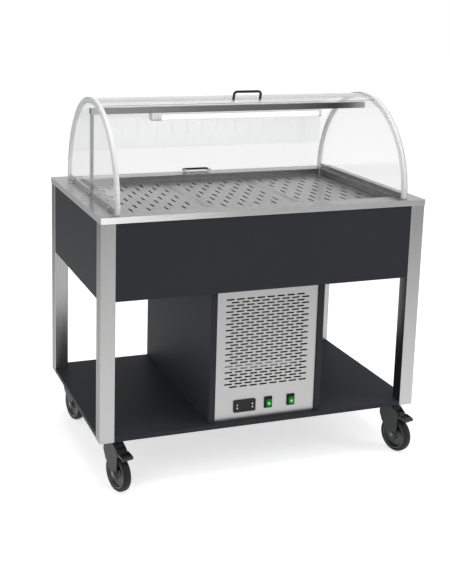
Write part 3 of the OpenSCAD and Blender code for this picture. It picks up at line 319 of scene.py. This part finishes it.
plasticSet = {
    "laminate": {"tone": (0.031, 0.0332, 0.0382), "stretch": fine, "marks": 0.3, "clouds": 0.12,
                 "roughness": 0.58, "spread": 0.25, "depth": 0.1, "shader": {"Specular IOR Level": 0.07}},
    "darkBoard": {"tone": (0.06, 0.06, 0.062), "stretch": (300, 300, 300), "marks": 0.4, "clouds": 0.2,
                  "roughness": 0.6, "spread": 0.25, "depth": 0.15},
    "foamTan": {"tone": (0.62, 0.52, 0.3), "stretch": (260, 260, 260), "marks": 0.4, "clouds": 0.2,
                "roughness": 0.9, "spread": 0.1, "depth": 0.5},
    "lampWhite": {"tone": (0.72, 0.72, 0.71), "stretch": fine, "marks": 0.03, "clouds": 0.05,
                  "roughness": 0.4, "spread": 0.2, "depth": 0.04},
    "blackPlastic": {"tone": (0.007, 0.007, 0.0076), "stretch": (1200, 1200, 1200), "marks": 0.3, "clouds": 0.2,
                     "roughness": 0.4, "spread": 0.2, "depth": 0.12, "shader": {"Specular IOR Level": 0.22}},
    "gripBlack": {"tone": (0.006, 0.006, 0.0065), "stretch": (900, 900, 900), "marks": 0.3, "clouds": 0.2,
                  "roughness": 0.26, "spread": 0.2, "depth": 0.03, "shader": {"Specular IOR Level": 0.3}},
    "keyWhite": {"tone": (0.75, 0.75, 0.75), "stretch": fine, "marks": 0.05, "clouds": 0.05,
                 "roughness": 0.45, "spread": 0.2, "depth": 0.05},
    "potEnamel": {"tone": (0.012, 0.012, 0.014), "stretch": fine, "marks": 0.3, "clouds": 0.2,
                  "roughness": 0.3, "spread": 0.2, "depth": 0.06},
    "fanPaint": {"tone": (0.16, 0.165, 0.17), "stretch": fine, "marks": 0.2, "clouds": 0.1,
                 "roughness": 0.45, "spread": 0.2, "depth": 0.08},
    "casterNylon": {"tone": (0.017, 0.0178, 0.0192), "stretch": (900, 900, 900), "marks": 0.3, "clouds": 0.15,
                    "roughness": 0.46, "spread": 0.2, "depth": 0.14, "shader": {"Specular IOR Level": 0.34}},
    "tyreRubber": {"tone": (0.012, 0.012, 0.013), "stretch": (600, 600, 600), "marks": 0.35, "clouds": 0.2,
                   "roughness": 0.6, "spread": 0.2, "depth": 0.2, "shader": {"Specular IOR Level": 0.2}},
    "wheelCentre": {"tone": (0.014, 0.0147, 0.016), "stretch": (900, 900, 900), "marks": 0.15, "clouds": 0.1,
                    "roughness": 0.4, "spread": 0.2, "depth": 0.08},
    "collarClear": {"tone": (0.6, 0.61, 0.61), "stretch": fine, "marks": 0.05, "clouds": 0.1,
                    "roughness": 0.2, "spread": 0.2, "depth": 0.04},
    "lampGlow": {"tone": (0.85, 0.85, 0.84), "stretch": fine, "marks": 0.02, "clouds": 0.04,
                 "roughness": 0.35, "spread": 0.2, "depth": 0.03,
                 "shader": {"Emission Color": (1, 1, 0.985, 1), "Emission Strength": 0.42}},
}
# clear plastic: the veil is how much of its own shadow it keeps
clearSet = {
    "clearSheet": {"tone": (0.965, 0.968, 0.968), "clearness": 1.0, "roughness": 0.06, "veil": 0.1},
    "clearPanel": {"tone": (0.975, 0.977, 0.977), "clearness": 1.0, "roughness": 0.02, "veil": 0.08},
    "frostedEdge": {"tone": (0.84, 0.842, 0.842), "clearness": 0.4, "roughness": 0.5, "veil": 0.3},
    "clearStrip": {"tone": (0.87, 0.872, 0.872), "clearness": 0.45, "roughness": 0.3, "veil": 0.3},
}
smudgeSet = {"scale": 7, "detail": 4, "least": 0.5, "most": 1.6}
lensSet = {"roughness": 0.25, "glow": 0.14, "sheen": 0.12, "reach": 0.018, "lampAt": (0, -0.009, -0.002),
           "spot": (0.5, 0.8, 0.3, 1), "spotTo": 0.12, "green": (0.008, 0.24, 0.04, 1), "greenAt": 0.3,
           "rim": (0.0, 0.08, 0.012, 1)}


def finish(name, grain, s, **values):
    material, tree, shader = newMaterial(name, {**values, **s.get("shader", {})})
    effect = tree.nodes.new("ShaderNodeGroup")
    effect.node_tree = grains[grain]
    effect.inputs["Tone"].default_value = (*s["tone"], 1)
    for socket, key in (("Stretch", "stretch"), ("Marks", "marks"), ("Clouds", "clouds"),
                        ("Roughness", "roughness"), ("Roughness Spread", "spread"), ("Depth", "depth")):
        effect.inputs[socket].default_value = s[key]
    for out, into in (("Colour", "Base Color"), ("Roughness", "Roughness"), ("Normal", "Normal")):
        wire(tree, effect.outputs[out], shader.inputs[into])
    return material


def clearFinish(name, s):
    # light passes to what is inside, and fine smudges soften the shine
    material, tree, shader = newMaterial(name, {"Base Color": (*s["tone"], 1), "IOR": 1.36,
                                                "Transmission Weight": s["clearness"]})
    smudges = noiseOf(tree, placeIn(tree), smudgeSet["scale"], smudgeSet["detail"])
    least, most = (s["roughness"] * smudgeSet[key] for key in ("least", "most"))
    wire(tree, mapped(tree, smudges, 0, 1, least, most), shader.inputs["Roughness"])
    shadow = tree.nodes.new("ShaderNodeLightPath").outputs["Is Shadow Ray"]
    wire(tree, mapped(tree, shadow, 0, 1, 1.0, s["veil"]), shader.inputs["Alpha"])
    return material


def litLens(name, centre, s):
    # green lens with the lamp's bright spot behind it
    material, tree, shader = newMaterial(name, {
        "Roughness": s["roughness"], "Emission Strength": s["glow"], "Specular IOR Level": s["sheen"]})
    distance = tree.nodes.new("ShaderNodeVectorMath")
    distance.operation = "DISTANCE"
    distance.inputs[1].default_value = centre
    wire(tree, placeIn(tree), distance.inputs[0])
    ramp = tree.nodes.new("ShaderNodeValToRGB")
    spot, rim = ramp.color_ramp.elements
    spot.color, spot.position = s["spot"], s["spotTo"]
    rim.color, rim.position = s["rim"], 1.0
    ramp.color_ramp.elements.new(s["greenAt"]).color = s["green"]
    wire(tree, mapped(tree, distance.outputs["Value"], 0, s["reach"], 0, 1), ramp.inputs["Fac"])
    wire(tree, ramp.outputs["Color"], shader.inputs["Base Color"])
    wire(tree, ramp.outputs["Color"], shader.inputs["Emission Color"])
    return material


finishes = {name: finish(name, "brushedGrain", s, Metallic=1.0) for name, s in metalSet.items()}
finishes |= {name: finish(name, "mouldedGrain", s) for name, s in plasticSet.items()}
finishes |= {name: clearFinish(name, s) for name, s in clearSet.items()}
for rocker in ("rocker_1", "rocker_2"):
    lampPlace = Vector(joints[rocker + "_tilt"]["pos_m"]) + Vector(lensSet["lampAt"])
    finishes[rocker + "Lens"] = litLens(rocker + "Lens", lampPlace, lensSet)

# painted highlight on the folded front edge, lighter towards its left end, and painted reflections on the lamp bar,
# lighter and darker in patches along it
foldHighlightSet = {"from": -0.57, "to": -0.1, "atFrom": 2.65, "atTo": 1.27, "face": -0.3496, "top": -0.3486}
barReflectionSet = {"from": -0.52, "to": 0.52, "most": 2,
          "stops": ((0.0, 0.8), (1.0, 0.95), (0.18, 0.7), (0.4, 0.45), (0.73, 0.33), (0.87, 0.15), (0.93, 0.3))}


def paintLightAndShade(material, factor):
    # painted light and shade: the finish's own colour, made lighter or darker from place to place
    tree = material.node_tree
    colour = tree.nodes["Principled BSDF"].inputs["Base Color"]
    wire(tree, toneBy(tree, colour.links[0].from_socket, factor), colour)


# painted highlight: the fold's front face is coloured lighter towards its left end
def paintedFoldHighlight(material, s):
    tree = material.node_tree
    x, y, _ = axesOf(tree, placeIn(tree))
    light = mapped(tree, x, s["from"], s["to"], s["atFrom"], s["atTo"])
    onFold = mapped(tree, y, domeAxis.y + s["face"], domeAxis.y + s["top"], 1, 0)
    paintLightAndShade(material, mapped(tree, times(tree, light, onFold), 1, 3, 1, 3))


# painted reflections: the bar's colour is made lighter and darker in patches along its length
def paintedBarReflections(material, s):
    tree = material.node_tree
    ramp = tree.nodes.new("ShaderNodeValToRGB")
    x = axesOf(tree, placeIn(tree))["X"]
    wire(tree, mapped(tree, x, s["from"], s["to"], 0, 1), ramp.inputs["Fac"])
    elements = [*ramp.color_ramp.elements, *(ramp.color_ramp.elements.new(0.5) for _ in s["stops"][2:])]
    for element, (place, tone) in zip(elements, s["stops"]):
        element.position, element.color = place, (tone, tone, tone, 1)
    paintLightAndShade(material, mapped(tree, ramp.outputs["Color"], 0, 1, 0, s["most"]))


paintedFoldHighlight(finishes["steelTop"], foldHighlightSet)
paintedBarReflections(finishes["barAluminium"], barReflectionSet)
print("materials ready")

finishOf = {
    "legs_front": "steelLeg", "legs_rear": "steelLeg", "frame_rails": "steelLeg", "worktop_rim": "steelTop",
    "well_tub": "steelWell", "well_insulation": "foamTan", "evaporator_coil": "copperTube",
    "panel_front": "laminate", "panel_rear": "laminate", "panel_left": "laminate", "panel_right": "laminate",
    "underside_panel": "darkBoard", "base_plate_1": "steelPlate", "base_plate_2": "steelPlate",
    "base_plate_3": "steelPlate", "end_rails": "railAluminium", "end_panel_left": "clearPanel",
    "end_panel_right": "clearPanel", "guide_strips": "clearStrip", "front_shell": "clearSheet",
    "rear_shell": "clearSheet", "handle_front": "gripBlack", "handle_rear": "gripBlack",
    "lamp_post": "postAluminium", "lamp_bar": "barAluminium", "lamp_housing": "lampWhite",
    "lamp_diffuser": "lampGlow", "bottom_shelf": "laminate", "cabinet_side_left": "laminate",
    "cabinet_side_right": "laminate", "cabinet_back": "steelFront", "grille_panel": "steelFront",
    "controller": "blackPlastic", "key_1": "keyWhite", "key_2": "keyWhite", "key_3": "keyWhite",
    "key_4": "keyWhite", "switch_frames": "blackPlastic", "rocker_1": "rocker_1Lens", "rocker_2": "rocker_2Lens",
    "machine_tray": "zincSheet", "compressor": "potEnamel", "condenser": "finAluminium", "fan_motor": "fanPaint",
    "fan_blades": "bladeAluminium", "refrigerant_lines": "copperTube", "cable_gland": "blackPlastic",
    "caster_plates": "zincSheet", "screws": "screwSteel",
}
frontCorners, allCorners = ("fl", "fr"), ("fl", "fr", "rl", "rr")
finishOf |= {"fork_" + corner: "casterNylon" for corner in allCorners}
finishOf |= {"wheel_" + corner: "wheelCentre" for corner in allCorners}
finishOf |= {"pedal_" + corner: "casterNylon" for corner in frontCorners}
for name, node in nodes.items():
    node.data.materials.clear()
    node.data.materials.append(finishes[finishOf[name]])


# pieces
def addPiece(bm, name, finishName, node, slot=None, edge=None, sharp=34, sawn=False):
    bmesh.ops.recalc_face_normals(bm, faces=bm.faces)
    for face in bm.faces if sawn else ():
        # sawn edges face neither out from the dome's axis nor, on an end panel, sideways
        out = (face.calc_center_median() - domeAxis) * Vector((0, 1, 1))
        broad = abs(face.normal.x) if "Panel" in name else abs(face.normal.dot(out.normalized()))
        face.material_index = int(broad < 0.5)
    mesh = bpy.data.meshes.new(name)
    bm.to_mesh(mesh)
    bm.free()
    mesh.shade_smooth()
    mesh.set_sharp_from_angle(angle=math.radians(sharp))
    mesh.materials.append(finishes[finishName])
    if sawn:
        mesh.materials.append(finishes["frostedEdge"])
    piece = placed(mesh, name, Matrix.Identity(4))
    if edge:
        bevel = piece.modifiers.new("softEdges", "BEVEL")
        bevel.width, bevel.segments = edge * mm, 2
        bevel.limit_method, bevel.angle_limit = "ANGLE", math.radians(sharp)
        bevel.use_clamp_overlap = False
        bevel.harden_normals = True
    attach(piece, bodyOf[node])
    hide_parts(node)
    return piece


def cadCopy(node, weld=2e-6, flat=0.3):
    bm = bmesh.new()
    bm.from_mesh(nodes[node].data)
    bmesh.ops.remove_doubles(bm, verts=bm.verts, dist=weld)
    bmesh.ops.dissolve_limit(bm, angle_limit=math.radians(flat), verts=bm.verts, edges=bm.edges)
    return bm


# sheet metal, boards and panels keep the CAD's form and get the soft edges of folded or milled work,
# in millimetres
edgeOf = {
    "legs_front": 0.5, "legs_rear": 0.5, "worktop_rim": 0.6, "well_tub": 0.5, "panel_front": 0.7, "panel_rear": 0.7,
    "panel_left": 0.7, "panel_right": 0.7, "underside_panel": 0.4, "frame_rails": 0.4, "base_plate_1": 0.25,
    "base_plate_2": 0.25, "base_plate_3": 0.25, "end_rails": 0.4, "end_panel_left": 0.5, "end_panel_right": 0.5,
    "guide_strips": 0.3, "lamp_post": 0.5, "lamp_bar": 0.5, "lamp_housing": 0.8, "lamp_diffuser": 0.5,
    "bottom_shelf": 0.7, "cabinet_side_left": 0.7, "cabinet_side_right": 0.7, "cabinet_back": 0.25,
    "grille_panel": 0.25, "controller": 0.4, "switch_frames": 0.5, "rocker_1": 0.4, "rocker_2": 0.4,
    "machine_tray": 0.3, "caster_plates": 0.5, "key_1": 0.3, "key_2": 0.3, "key_3": 0.3, "key_4": 0.3,
    "cable_gland": 0.5, "compressor": 0.5, "evaporator_coil": None, "refrigerant_lines": None, "screws": 0.2,
    "fan_motor": None, "fan_blades": 0.3,
}
for node, edge in edgeOf.items():
    first, *others = node.split("_")
    name = first + "".join(word.capitalize() for word in others)
    addPiece(cadCopy(node), name, finishOf[node], node, edge=edge, sawn=node.startswith("end_panel"))
print("sheet metal and boards ready")


# the two clear shells of the dome, in metres, and degrees forward from its top
shellSet = {
    "frontShell": {"outer": 0.3197, "inner": 0.3165, "lead": 17.0, "tail": -72.5, "node": "front_shell"},
    "rearShell": {"outer": 0.3129, "inner": 0.3097, "lead": 6.0, "tail": -91.6, "node": "rear_shell"},
}
shellForm = {"half": 0.5137, "steps": 64, "edge": 0.6}


def shellPoint(angle, radius, x):
    turn = math.radians(angle)
    return Vector((x, domeAxis.y - radius * math.sin(turn), domeAxis.z + radius * math.cos(turn)))


def makeShell(name, s, g):
    bm = bmesh.new()
    half = g["half"]
    corners = ((-half, s["outer"]), (half, s["outer"]), (half, s["inner"]), (-half, s["inner"]))
    face = bm.faces.new([bm.verts.new(shellPoint(s["lead"], radius, x)) for x, radius in corners])
    bmesh.ops.spin(bm, geom=[face], cent=domeAxis, axis=(1, 0, 0), dvec=(0, 0, 0),
                   angle=math.radians(s["tail"] - s["lead"]), steps=g["steps"], use_merge=False, use_duplicate=False)
    addPiece(bm, name, "clearSheet", s["node"], edge=g["edge"], sawn=True)


for name, s in shellSet.items():
    makeShell(name, s, shellForm)

# bow handles, with their collars outside the shell and nuts inside it
gripSet = {
    "frontGrip": {"node": "handle_front", "angle": 13.505, "radius": 0.3197, "x": 0.017},
    "rearGrip": {"node": "handle_rear", "angle": -90.0, "radius": 0.3129, "x": -0.012},
}
gripForm = {"half": 0.0495, "rod": 0.0045, "bend": 0.011, "axisHeight": 0.0325, "foot": 0.0041, "segments": 28,
            "bendSteps": 10, "edge": 0.3, "sharp": 50}
gripStuds = {
    "Collars": {"low": 0, "high": 0.004, "radius": 0.006, "edge": 0.8},
    "Nuts": {"low": -0.0055, "high": -0.0035, "radius": 0.005, "edge": 0.4},
}


def makeGrip(name, s, g):
    seat = Matrix.Translation((s["x"], domeAxis.y, domeAxis.z)) \
        @ Matrix.Rotation(math.radians(s["angle"]), 4, "X") @ Matrix.Translation((0, 0, s["radius"]))
    bm = bmesh.new()
    ring = bmesh.ops.create_circle(bm, segments=g["segments"], radius=g["rod"], cap_ends=False,
                                   matrix=Matrix.Translation((g["half"], 0, g["foot"])))["verts"]
    edges = list({edge for vert in ring for edge in vert.link_edges})

    def pull(edges, step):
        grown = bmesh.ops.extrude_edge_only(bm, edges=edges)["geom"]
        bmesh.ops.translate(bm, verts=[part for part in grown if isinstance(part, bmesh.types.BMVert)], vec=step)
        return [part for part in grown if isinstance(part, bmesh.types.BMEdge) and all(v in grown for v in part.verts)]

    def turnOver(edges, centre):
        spun = bmesh.ops.spin(bm, geom=edges, cent=centre, axis=(0, 1, 0), dvec=(0, 0, 0), angle=-math.pi / 2,
                              steps=g["bendSteps"], use_merge=False, use_duplicate=False)["geom_last"]
        return [part for part in spun if isinstance(part, bmesh.types.BMEdge)]

    topStart = g["axisHeight"] - g["bend"]
    run = g["half"] - g["bend"]
    edges = pull(edges, (0, 0, topStart - g["foot"]))
    edges = turnOver(edges, (run, 0, topStart))
    edges = pull(edges, (-2 * run, 0, 0))
    edges = turnOver(edges, (-run, 0, topStart))
    pull(edges, (0, 0, g["foot"] - topStart))
    bmesh.ops.holes_fill(bm, edges=bm.edges, sides=0)
    bmesh.ops.transform(bm, matrix=seat, verts=bm.verts)
    addPiece(bm, name + "Bow", "gripBlack", s["node"], edge=g["edge"], sharp=g["sharp"])
    for part, stud in gripStuds.items():
        bm = bmesh.new()
        for side in (-1, 1):
            middle = (side * g["half"], 0, (stud["low"] + stud["high"]) / 2)
            bmesh.ops.create_cone(bm, cap_ends=True, segments=g["segments"], radius1=stud["radius"],
                                  radius2=stud["radius"], depth=stud["high"] - stud["low"],
                                  matrix=Matrix.Translation(middle))
        bmesh.ops.transform(bm, matrix=seat, verts=bm.verts)
        addPiece(bm, name + part, "collarClear", s["node"], slot="white_plastic", edge=stud["edge"])


for name, s in gripSet.items():
    makeGrip(name, s, gripForm)
print("dome ready")

# wheels: rubber tyre on a dished plastic centre. Profiles are points of width and radius, and the centre's
# is the left half
wheelForm = {
    "tyre": ((-0.0125, 0.0506), (-0.0135, 0.052), (-0.0138, 0.0552), (-0.0126, 0.0588), (-0.0098, 0.0611),
             (-0.0055, 0.0622), (0, 0.0625), (0.0055, 0.0622), (0.0098, 0.0611), (0.0126, 0.0588),
             (0.0138, 0.0552), (0.0135, 0.052), (0.0125, 0.0506)),
    "centre": ((-0.0128, 0.0505), (-0.0132, 0.0492), (-0.0132, 0.0462), (-0.0118, 0.0448), (-0.0062, 0.0436),
               (-0.0042, 0.0415), (-0.0042, 0.0205), (-0.0062, 0.018), (-0.0128, 0.0165), (-0.0148, 0.0145),
               (-0.0148, 0.0052)),
    "steps": 72, "sharp": 50,
}


def spinAround(bm, profile, matrix, steps):
    verts = [bm.verts.new((x, 0, radius)) for x, radius in profile]
    edges = [bm.edges.new((a, b)) for a, b in zip(verts, verts[1:] + verts[:1])]
    bmesh.ops.spin(bm, geom=verts + edges, cent=(0, 0, 0), axis=(1, 0, 0), dvec=(0, 0, 0), angle=2 * math.pi,
                   steps=steps, use_merge=True, use_duplicate=False)
    bmesh.ops.remove_doubles(bm, verts=bm.verts, dist=1e-6)
    bmesh.ops.transform(bm, matrix=matrix, verts=bm.verts)


def towards(axle):
    return Matrix.Rotation(math.atan2(axle[1], axle[0]), 4, "Z")


def makeWheel(corner, g):
    joint = joints["roll_" + corner]
    seat = Matrix.Translation(Vector(joint["pos_m"])) @ towards(joint["axis"])
    bm = bmesh.new()
    spinAround(bm, g["tyre"], seat, g["steps"])
    addPiece(bm, "tyre" + corner.upper(), "tyreRubber", "wheel_" + corner, sharp=g["sharp"])
    bm = bmesh.new()
    half = list(g["centre"])
    spinAround(bm, half + [(-x, radius) for x, radius in reversed(half)], seat, g["steps"])
    addPiece(bm, "wheelCentre" + corner.upper(), "wheelCentre", "wheel_" + corner, slot="caster_grey", sharp=g["sharp"])


# moulded fork: hood over the wheel, two cheeks down to the axle, stem and swivel ring on top.
# Outlines are points of reach ahead of the swivel and height, in millimetres
forkForm = {
    "gap": 15.7, "cheek": 4.3, "cheekEdge": 1.3, "hoodEdge": 1.0, "screwEdge": 0.8,
    "axle": (40, 62.5), "eye": 17, "eyeArc": (185, 355, 15),
    "back": ((-24, 168), (-25, 124), (-13, 99)),
    "front": ((60, 102), (61, 122), (66, 132), (60, 145), (45, 156), (30, 168)),
    "hoodRadius": 66, "hoodOverlap": 0.4, "hoodStart": 123.6, "hoodPoints": 14,
    "crownBack": ((-24, 168), (-24, 117.5), (3.5, 117.5)),
    "braked": {"hoodEnd": 87.4, "crown": ((43, 153.5), (45, 156), (30, 168))},
    "plain": {"hoodEnd": 68, "crown": ((65, 132), (59.5, 144.5), (45, 155.8), (30, 168))},
    "ring": (20, 167, 170.6), "stem": (5, 168, 174.5), "pin": (4.9, 0.4), "screw": (8, 0.1, 3),
}
pedalForm = {
    "boss": ((50, 141), 6, 90, 270, 9), "neck": ((69, 131.5), (69, 142.6)), "neckHalf": 15.3,
    "plate": ((67.5, 143), (91, 138.4), (97, 136.2), (100, 133), (100, 127), (94.5, 125), (91, 129.6), (67.5, 132)),
    "plateHalf": 20, "frame": 5.5, "window": 4.5, "windowSlope": 0.6, "edge": 1.1,
}


def casterSeat(corner):
    x, y, _ = joints["swivel_" + corner]["pos_m"]
    return Matrix.Translation((x, y, 0)) @ towards(joints["roll_" + corner]["axis"])


def sideSolid(bm, outline, low, high):
    # an outline made solid from side to side
    face = bm.faces.new([bm.verts.new((low * mm, -reach * mm, height * mm)) for reach, height in outline])
    grown = bmesh.ops.extrude_face_region(bm, geom=[face], use_keep_orig=True)["geom"]
    moved = [part for part in grown if isinstance(part, bmesh.types.BMVert)]
    bmesh.ops.translate(bm, verts=moved, vec=((high - low) * mm, 0, 0))


def rod(bm, radius, start, end):
    start, end = Vector(start) * mm, Vector(end) * mm
    way = end - start
    seat = Matrix.Translation((start + end) / 2) @ way.to_track_quat("Z", "Y").to_matrix().to_4x4()
    bmesh.ops.create_cone(bm, cap_ends=True, segments=32, radius1=radius * mm, radius2=radius * mm,
                          depth=way.length, matrix=seat)


def arcPoints(centre, radius, first, last, count):
    turns = [math.radians(first + (last - first) * i / (count - 1)) for i in range(count)]
    return [(centre[0] + radius * math.cos(turn), centre[1] + radius * math.sin(turn)) for turn in turns]


def makeFork(corner, g):
    kind = g["braked" if corner in frontCorners else "plain"]
    seat = casterSeat(corner)
    gap, outside = g["gap"], g["gap"] + g["cheek"]
    reach, height = g["axle"]

    def addFork(bm, name, finishName, **values):
        bmesh.ops.transform(bm, matrix=seat, verts=bm.verts)
        addPiece(bm, name + corner.upper(), finishName, "fork_" + corner, **values)

    cheek = [*g["back"], *arcPoints(g["axle"], g["eye"], *g["eyeArc"]), *g["front"]]
    for name, low, high in (("Left", -outside, -gap), ("Right", gap, outside)):
        bm = bmesh.new()
        sideSolid(bm, cheek, low, high)
        addFork(bm, "forkCheek" + name, "casterNylon", edge=g["cheekEdge"])
    bm = bmesh.new()
    hood = arcPoints(g["axle"], g["hoodRadius"], g["hoodStart"], kind["hoodEnd"], g["hoodPoints"])
    hoodHalf = gap + g["hoodOverlap"]
    sideSolid(bm, [*g["crownBack"], *hood, *kind["crown"]], -hoodHalf, hoodHalf)
    for radius, low, high in (g["ring"], g["stem"]):
        rod(bm, radius, (0, 0, low), (0, 0, high))
    addFork(bm, "forkHood", "casterNylon", edge=g["hoodEdge"])
    bm = bmesh.new()
    pinRadius, pinProud = g["pin"]
    rod(bm, pinRadius, (-outside - pinProud, -reach, height), (outside + pinProud, -reach, height))
    headRadius, headFrom, headTo = g["screw"]
    for side in (-1, 1):
        rod(bm, headRadius, (side * (outside + headFrom), -reach, height), (side * (outside + headTo), -reach, height))
    addFork(bm, "axleScrew", "axleSteel", slot="zinc", edge=g["screwEdge"])


# brake pedal: neck on its pin, broad plate with a framed sunk window, and a lip
def makePedal(corner, g):
    bm = bmesh.new()
    sideSolid(bm, [*arcPoints(*g["boss"]), *g["neck"]], -g["neckHalf"], g["neckHalf"])
    plate = bmesh.new()
    sideSolid(plate, g["plate"], -g["plateHalf"], g["plateHalf"])
    bmesh.ops.recalc_face_normals(plate, faces=plate.faces)
    upper = [face for face in plate.faces if abs(face.normal.x) < 0.1 and face.normal.z > 0.9]
    top = max(upper, key=lambda face: face.calc_area())
    bmesh.ops.inset_individual(plate, faces=[top], thickness=g["frame"] * mm, depth=0)
    walls = bmesh.ops.inset_individual(plate, faces=[top], thickness=g["windowSlope"] * mm,
                                       depth=-g["window"] * mm)["faces"]
    for face in walls + [top]:
        face.material_index = 1
    joined = bpy.data.meshes.new("joined")
    plate.to_mesh(joined)
    plate.free()
    bm.from_mesh(joined)
    bpy.data.meshes.remove(joined)
    bmesh.ops.transform(bm, matrix=casterSeat(corner), verts=bm.verts)
    piece = addPiece(bm, "brakePedal" + corner.upper(), "casterNylon", "pedal_" + corner, edge=g["edge"])
    piece.data.materials.append(finishes["blackPlastic"])


for corner in allCorners:
    makeWheel(corner, wheelForm)
    makeFork(corner, forkForm)
for corner in frontCorners:
    makePedal(corner, pedalForm)
print("casters ready")
